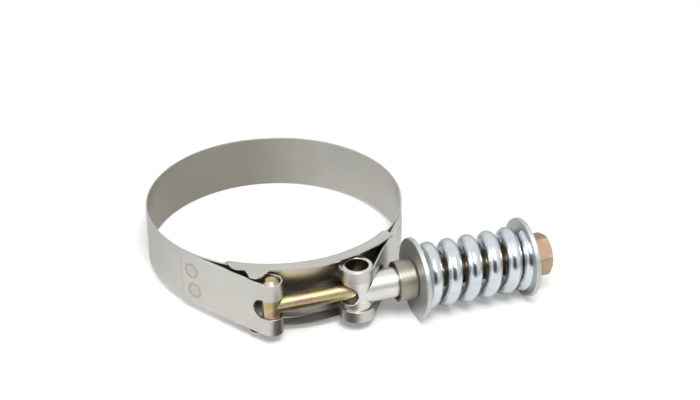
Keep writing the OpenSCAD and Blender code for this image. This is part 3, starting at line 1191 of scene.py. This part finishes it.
@dataclass
class BoltAndNut:
    """T-bolt with a rolled thread, and the sleeve nut on it."""

    bar_d: float = 6.0
    bar_l: float = 19.9
    bar_cone: float = 1.4
    bar_round: float = 0.5
    shank_d: float = 5.6
    neck_flare: float = 1.1
    thread_d: float = 6.35
    thread_pitch: float = 0.907
    thread_l: float = 58.0
    thread_deep: float = 0.56
    recess: float = 1.6
    hex_af: float = 12.7
    hex_l: float = 7.5
    hex_turn: float = 14.0
    hex_chamfer: float = 30.0
    sleeve_l: float = 30.8
    bore_play: float = 0.06
    mouth: float = 0.35

    def thread(self, start: float, end: float) -> Patch:
        """A thread along the bolt: the radius falls by a clipped triangle wave of place and angle.

        Args:
            start: Where it starts along the bolt.
            end: Where it ends.

        Returns:
            The thread's surface.
        """
        samples, parts, run_in, tip_l, tip_cut, sunk = 10, 56, 1.5, 0.8, 0.55, 0.01
        x = np.linspace(start, end, math.ceil((end - start) / self.thread_pitch * samples))
        a, radial = ring_frames(parts, Y, Z)
        turn = (x[None] / self.thread_pitch - a[:, None] / (2 * math.pi)) % 1.0
        groove = np.clip(np.abs(turn - 0.5) * 2.6 - 0.2, 0, 1)
        depth = self.thread_deep * np.clip((x - start) / run_in, 0, 1) * groove
        taper = tip_cut * np.clip((x - end + tip_l) / tip_l, 0, 1)
        r = np.minimum(self.thread_d / 2 - depth - sunk, self.thread_d / 2 - taper)
        slope = np.gradient(r, x, axis=1)
        normals = np.stack([-slope, np.ones_like(slope)], axis=-1)
        section = np.stack([np.broadcast_to(x, r.shape), r], axis=-1)
        return sweep(section, normals, S.axis, X, radial, a * self.thread_d / 2)

    def bolt(self) -> bpy.types.Object:
        """Cross bar with coned ends, flared shank and thread.

        Returns:
            The bolt's object.
        """
        top, r, cone, soft = self.bar_l / 2, self.bar_d / 2, self.bar_cone, self.bar_round
        bar = rounded([(-top, 0, 0), (-top, r - cone, soft), (cone - top, r, soft), (top - cone, r, soft),
                       (top, r - cone, soft), (top, 0, 0)])
        end = S.hex_face + self.hex_l - self.recess
        start = end - self.thread_l
        thread_at = start + 0.8
        thin, thick = self.shank_d / 2, self.thread_d / 2 - 0.01
        step = start + 0.1 - S.bar_x
        shank = rounded([(step - 1, thin, 0), (step, thin, 0.2), (thread_at - S.bar_x, thick, 0)])
        tip = rounded([(end, self.thread_d / 2 - self.thread_deep, 0), (end, 0, 0)])
        cross = S.axis + S.bar_x * X
        shape = Shape("bolt_threaded").add(
            turned(bar, cross, Z, 72), branch(cross, r, thin, self.neck_flare, shank),
            self.thread(thread_at, end), turned(tip, S.axis, X, 56))
        return shape.build()

    def hexagon(self) -> list[Patch]:
        """Six flats with softened edges, the chamfer cones at both ends and the end faces.

        Returns:
            The patches.
        """
        flat, corner = self.hex_af / 2, self.hex_af / math.sqrt(3)
        top, foot = flat - 0.1, corner - 0.4
        soft_w, uv_step = 0.4, 8
        rise, run = math.sin(math.radians(self.hex_chamfer)), math.cos(math.radians(self.hex_chamfer))
        x0, x1 = S.hex_face, S.hex_face + self.hex_l
        c = np.linspace(-corner / 2, corner / 2, 25)
        r = np.sqrt(flat * flat + c * c)
        low = x0 + np.maximum(0, r - foot) * rise / run
        high = x1 - np.maximum(0, r - top) * rise / run
        soft = np.radians(30) * np.sign(c) * np.clip((np.abs(c) - corner / 2) / soft_w + 1, 0, 1)
        patches = []
        for k in range(6):
            out = np.insert(direction(self.hex_turn - 60 + 60 * k), 0, 0.0)
            side = np.cross(X, out)
            radial = (flat * out + c[:, None] * side) / r[:, None]
            edge = S.axis + r[:, None] * radial
            uv = [np.stack([c + uv_step * k, x], -1) for x in (low, high)]
            facing = np.cos(soft)[:, None] * out + np.sin(soft)[:, None] * side
            patches.append(Patch.border([edge + x[:, None] * X for x in (low, high)], facing, uv))
            for edge_x, end_x, end_r, way in ((high, x1, top, 1.0), (low, x0, foot, -1.0)):
                end_c = S.axis + end_x * X
                rim = end_c + np.minimum(end_r, r)[:, None] * radial
                hole = end_c + (self.thread_d / 2 + self.mouth) * radial
                cone = way * X * run + radial * rise
                patches.append(Patch.border([edge + edge_x[:, None] * X, rim], cone, uv))
                patches.append(Patch.facing(np.stack([rim, hole], axis=1), way * X, np.stack(uv, axis=1)))
        return patches

    def nut(self) -> bpy.types.Object:
        """Hexagon, sleeve and the bore's mouth.

        Returns:
            The nut's object.
        """
        x0, x1 = S.hex_face - self.sleeve_l, S.hex_face + self.hex_l
        bore, r = self.thread_d / 2 + self.bore_play, S.sleeve_d / 2
        sleeve = rounded([(x0 + 0.5, bore, 0), (x0, bore + 0.3, 0.1), (x0, r, 0.35),
                          (S.hex_face + 0.2, r, 0)])
        mouth = rounded([(x1, bore + self.mouth, 0), (x1 - 0.4, bore, 0.1), (x1 - 4.0, bore, 0)])
        shape = Shape("nut_hexagon").add(*self.hexagon())
        return shape.add(turned(sleeve, S.axis, X, 72), turned(mouth, S.axis, X, 56)).build()

    def dress(self) -> None:
        """Builds and finishes bolt and nut."""
        place_piece(self.bolt(), Body.CLAMP, YELLOW, metal(YELLOW, YellowTint(0.0, 0.05)), "t_bolt")
        place_piece(self.nut(), Body.NUT, YELLOW, metal(YELLOW, YellowTint(0.06, 0.36)), "sleeve_nut")


@dataclass
class Trunnion:
    """T-shaped hollow piece: barrel with the bolt's window, and tube."""

    barrel_d: float = 10.2
    barrel_l: float = 18.7
    window_x: float = 4.56
    window_h: float = 7.0
    window_round: float = 0.2
    rim_round: float = 0.45
    flare: float = 0.9
    # painted shade inside the bore
    tint: PaintedShadeTint = PaintedShadeTint(0.9, (0.10, 0.09, 0.07))

    def barrel(self) -> list[Patch]:
        """Upper and lower halves of the barrel round its window, which ends in a half circle.

        Returns:
            The patches.
        """
        girth, bore_r = 32.0, S.bore_d / 2
        angle = np.linspace(0, 360, 181)
        radial = flat3(direction(angle))
        x = radial[:, 0] * self.barrel_d / 2 + self.window_x
        half = self.window_h / 2
        low = np.sqrt(np.maximum(0, half * half - np.maximum(x, 0) ** 2))
        high = np.full_like(low, self.barrel_l / 2)
        patches = []
        for mirror in (False, True):
            section, normals = split_section(bore_r, self.barrel_d / 2, low, high, self.window_round,
                                             self.rim_round, mirror)
            patch = sweep(section, normals, S.axis + S.barrel_x * X, radial, Z, angle / 360 * girth)
            # bore faces, darkened in the material with painted shade
            patch.shade = (section[..., 0] < bore_r + 0.1).astype(float)
            patches.append(patch)
        return patches

    def tube(self) -> Patch:
        """The tube, flared into the barrel's wall.

        Returns:
            The tube's surface.
        """
        r, straight, wall = S.tube_d / 2, 9.0, 1.2
        end = rounded([(straight, r, 0), (S.tube_reach, r, self.rim_round), (S.tube_reach, r - wall, 0)])
        return branch(S.axis + S.barrel_x * X, self.barrel_d / 2, r, self.flare, end)

    def dress(self) -> None:
        """Builds and finishes the trunnion."""
        shape = Shape("trunnion_tee").add(*self.barrel(), self.tube())
        place_piece(shape.build(), Body.CLAMP, SATIN, metal(SATIN, self.tint), "trunnion")


@dataclass
class SpringStack:
    """Guide bush, two washers and the coil spring."""

    bush_d: float = 13.3
    bush_l: float = 6.3
    bush_play: float = 0.5
    bush_round: float = 1.0
    sleeve_play: float = 0.3
    hole_round: float = 0.1
    rim_rounds: Pair = (0.45, 0.3)
    spring_d: float = 22.0
    wire_d: float = 5.4
    turns: float = 6.0
    phase: float = 90.0

    def ring(self, name: str, corners: Sequence[Triple], count: int = 128) -> bpy.types.Object:
        """A turned ring from place, radius and rounding of its section's corners."""
        return Shape(name).add(turned(rounded(corners, True), S.axis, X, count)).build()

    def washer(self, name: str, start: float, hole: float) -> bpy.types.Object:
        """A flat washer with softened edges.

        Args:
            name: Its name.
            start: Where it starts along the bolt.
            hole: Radius of its hole.

        Returns:
            The washer's object.
        """
        r, end, parts = S.washer_d / 2, start + S.washer_t, 160
        first, second = self.rim_rounds
        return self.ring(name, [(start, hole, self.hole_round), (start, r, first), (end, r, second),
                                (end, hole, self.hole_round)], parts)

    def bush(self) -> bpy.types.Object:
        """The drawn cup over the tube's end.

        Returns:
            The bush's object.
        """
        end, r = S.tube_end + S.bush_floor, self.bush_d / 2
        start, inner, hole = end - self.bush_l, S.tube_d / 2 + self.bush_play, S.bore_d / 2
        return self.ring("bush_cup", [(start, inner, 0.15), (start, r, 0.3), (end, r, self.bush_round),
                                      (end, hole, 0.1), (S.tube_end, hole, 0.1), (S.tube_end, inner, 0.1)])

    def spring(self) -> bpy.types.Object:
        """The wire: a circle carried along a helix, cut flat where the first and last turns are ground.

        Returns:
            The spring's object.
        """
        per_turn, sides, coil_l = 44, 24, 54.0
        half = sides // 2
        u = np.linspace(0, self.turns, math.ceil(self.turns * per_turn) + 1)
        closed, tip, wire = 1.03 * self.wire_d, self.wire_d / 4, self.wire_d / 2
        first = closed - tip
        x = first + (S.spring_l - 2 * first) * (u - 1) / (self.turns - 2)
        x = np.where(u < 1, closed * u - tip, x)
        x = np.where(u > self.turns - 1, S.spring_l + tip - closed * (self.turns - u), x)
        low = x < S.spring_l / 2
        deep = np.minimum(np.where(low, x, S.spring_l - x), math.cos(math.pi / sides) * wire) / wire
        flat = np.degrees(np.arcsin(deep))[:, None]
        j = np.arange(sides)[None]
        step = (180 + 2 * flat) / (sides - 1)
        around = np.where(low[:, None], -flat + j * step, 180 - flat + ((j + half) % sides) * step)
        out = direction(np.concatenate([around, around[:, :1]], axis=1))
        section = np.stack([S.inner_face + x[:, None] + wire * out[..., 1],
                            self.spring_d / 2 - wire + wire * out[..., 0]], axis=-1)
        a = np.radians(self.phase) - 2 * math.pi * u
        radial = np.cos(a)[:, None] * Y + np.sin(a)[:, None] * Z
        coil = sweep(section, out[..., ::-1], S.axis, X, radial, u * coil_l)
        lids = [Patch.lid(coil.points[at, :sides], sign * np.cross(X, radial[at]))
                for at, sign in ((0, 1.0), (-1, -1.0))]
        return Shape("coil_spring").add(coil, *lids).build()

    def dress(self) -> None:
        """Builds and finishes bush, washers and spring."""
        place_piece(self.bush(), Body.CLAMP, WARM, metal(WARM), "guide_bush")
        zinc = metal(WASHER)
        inner = self.washer("washer_inner", S.inner_face - S.washer_t, S.bore_d / 2)
        place_piece(inner, Body.CLAMP, WASHER, zinc, "inner_washer")
        outer = self.washer("washer_outer", S.outer_face + S.turn_gap, S.sleeve_d / 2 + self.sleeve_play)
        place_piece(outer, Body.WASHER, WASHER, zinc, "outer_washer")
        spring = place_piece(self.spring(), Body.CLAMP, ZINC, metal(ZINC), "spring")
        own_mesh(spring)


@dataclass(frozen=True)
class Lamp:
    """A square area light aimed at the clamp, placed in metres, with its power in watts."""

    name: str
    place: Triple
    size: float
    power: float
    aim: Triple = (0.02, -0.02, 0.0)

    def build(self) -> None:
        """Adds the light."""
        data = bpy.data.lights.new(self.name, "AREA")
        data.size = self.size
        data.energy = self.power
        way = Vector(self.aim) - Vector(self.place)
        turn = way.to_track_quat("-Z", "Y").to_matrix().to_4x4()
        linked(self.name, data).matrix_world = Matrix.Translation(self.place) @ turn


@dataclass
class Studio:
    """White floor, soft light and the photo's camera."""

    azimuth: float = -19.065
    elevation: float = 30.319
    roll: float = -0.064
    distance: float = 529.56
    shift: Pair = (-26.046, -7.174)
    lens: float = 78.87
    floor_half: float = 1500.0
    floor_gap: float = 0.05
    lamps: tuple[Lamp, ...] = (Lamp("top", (-0.05, -0.60, 0.95), 0.45, 11.0),
                               Lamp("left", (-0.9, -0.2, 0.6), 0.6, 1.5))

    def camera(self) -> None:
        """Places the fitted camera."""
        a, e = math.radians(self.azimuth), math.radians(self.elevation)
        back = Vector((math.sin(a) * math.cos(e), -math.cos(a) * math.cos(e), math.sin(e)))
        right = Vector((math.cos(a), math.sin(a), 0.0))
        up = back.cross(right)
        place = (back * self.distance - right * self.shift[0] - up * self.shift[1]) * MM
        turn = Matrix((right, up, back)).transposed().to_4x4()
        data = bpy.data.cameras.new("camera")
        data.sensor_width = 36.0
        data.lens = self.lens
        data.clip_start = 0.01
        data.clip_end = 20.0
        data.dof.use_dof = False
        camera = linked("camera", data)
        roll = Matrix.Rotation(math.radians(self.roll), 4, "Z")
        camera.matrix_world = Matrix.Translation(place) @ turn @ roll
        bpy.context.scene.camera = camera

    def floor_paint(self) -> bpy.types.Material:
        """White to the camera with its shadow, duller in reflections, with a painted shadow under the bolt
        that only reflections see.

        Returns:
            The floor's material.
        """
        glow_share, front, back = 0.2, (0.81, 0.81, 0.80), (0.60, 0.60, 0.59)
        # painted shadow spot under the bolt and its colour, seen only in reflections
        bolt_shadow_spot, dark = (-0.004, -0.064, -0.013), (0.07, 0.06, 0.05)
        material = bpy.data.materials.new("white floor")
        material.use_nodes = True
        n = Nodes(material.node_tree)
        shader = n.tree.nodes["Principled BSDF"]
        place = n.add("ShaderNodeTexCoord").outputs["Object"]
        plain = n.mix(n.noise(place, 6.0, 2.0), (0.93, 0.93, 0.93), (0.95, 0.95, 0.95))
        # mask of the painted shadow spot
        away = n.range(n.vector("DISTANCE", place, bolt_shadow_spot), 0.009, 0.021)
        depth = n.mix(n.range(n.parts(place)["Y"], -0.03, 0.02), front, back)
        path = n.add("ShaderNodeLightPath").outputs
        colour = n.mix(path["Is Glossy Ray"], plain, n.mix(away, dark, depth))
        for name, value in (("Base Color", colour), ("Roughness", 0.9), ("Specular IOR Level", 0.1)):
            n.feed(shader.inputs[name], value)
        pick = n.add("ShaderNodeMixShader")
        glow = n.add("ShaderNodeEmission").outputs[0]
        share = n.math("MULTIPLY", path["Is Camera Ray"], glow_share)
        for socket, value in zip(pick.inputs, (share, shader.outputs[0], glow)):
            n.feed(socket, value)
        n.feed(n.tree.nodes["Material Output"].inputs["Surface"], pick.outputs[0])
        return material

    def floor(self) -> None:
        """Floor that the washers' rims and the ring's far edge rest on, so it slopes a little."""
        near = np.array([S.bolt_y, -S.washer_d / 2])
        far = np.array([S.hose_r + S.band_t, -S.band_w / 2])
        slope = (far[1] - near[1]) / (far[0] - near[0])
        x = self.floor_half * np.array([-1.0, 1.0, 1.0, -1.0])
        y = self.floor_half * np.array([-1.0, -1.0, 1.0, 1.0])
        z = near[1] + (y - near[0]) * slope - self.floor_gap
        mesh = bpy.data.meshes.new("floor")
        mesh.from_pydata((np.stack([x, y, z], axis=-1) * MM).tolist(), [], [(0, 1, 2, 3)])
        mesh.materials.append(self.floor_paint())
        floor = linked("floor", mesh)

    def world(self) -> None:
        """Bright dome with a dark room behind the camera, and white to the camera itself."""
        room, room_level, horizon, diffuse_level = (-0.30, -0.88, 0.36), 0.06, 0.55, 0.55
        world = bpy.data.worlds.new("studio")
        bpy.context.scene.world = world
        world.use_nodes = True
        world.node_tree.nodes.clear()
        n = Nodes(world.node_tree)
        way = n.add("ShaderNodeTexCoord").outputs["Generated"]
        dark = n.range(n.vector("DOT_PRODUCT", way, room), 0.80, 0.97)
        sky = n.range(n.parts(way)["Z"], -0.05, 0.55, horizon, 1.0)
        level = n.math("MULTIPLY", sky, n.range(dark, 0.0, 1.0, 1.0, room_level))
        path = n.add("ShaderNodeLightPath").outputs
        glow = n.add("ShaderNodeBackground")
        n.feed(glow.inputs["Color"], n.mix(level, (0.0, 0.0, 0.0), (1.0, 1.0, 1.0)))
        n.feed(glow.inputs["Strength"], n.range(path["Is Glossy Ray"], 0.0, 1.0, diffuse_level, 1.0))
        white = n.add("ShaderNodeBackground")
        n.feed(white.inputs["Color"], (1.0, 1.0, 1.0))
        pick = n.add("ShaderNodeMixShader")
        for socket, value in zip(pick.inputs, (path["Is Camera Ray"], glow.outputs[0], white.outputs[0])):
            n.feed(socket, value)
        n.feed(n.add("ShaderNodeOutputWorld").inputs["Surface"], pick.outputs[0])

    def dress(self) -> None:
        """Sets up camera, floor, dome and lights."""
        self.camera()
        self.floor()
        self.world()
        for lamp in self.lamps:
            lamp.build()
        scene = bpy.context.scene
        scene.view_settings.view_transform = "Standard"
        scene.view_settings.look = "None"


def corners(box: tuple[Vector, Vector]) -> list[list[float]]:
    """A box's lowest and highest corner as plain lists."""
    return [list(box[0]), list(box[1])]


def main() -> None:
    """Builds the scene."""
    logging.basicConfig(level=logging.INFO, format="%(name)s: %(message)s")
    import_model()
    for group in (BandStrip(), BridgePlate(), BoltAndNut(), Trunnion(), SpringStack(), Studio()):
        group.dress()


if __name__ == "__main__":
    main()
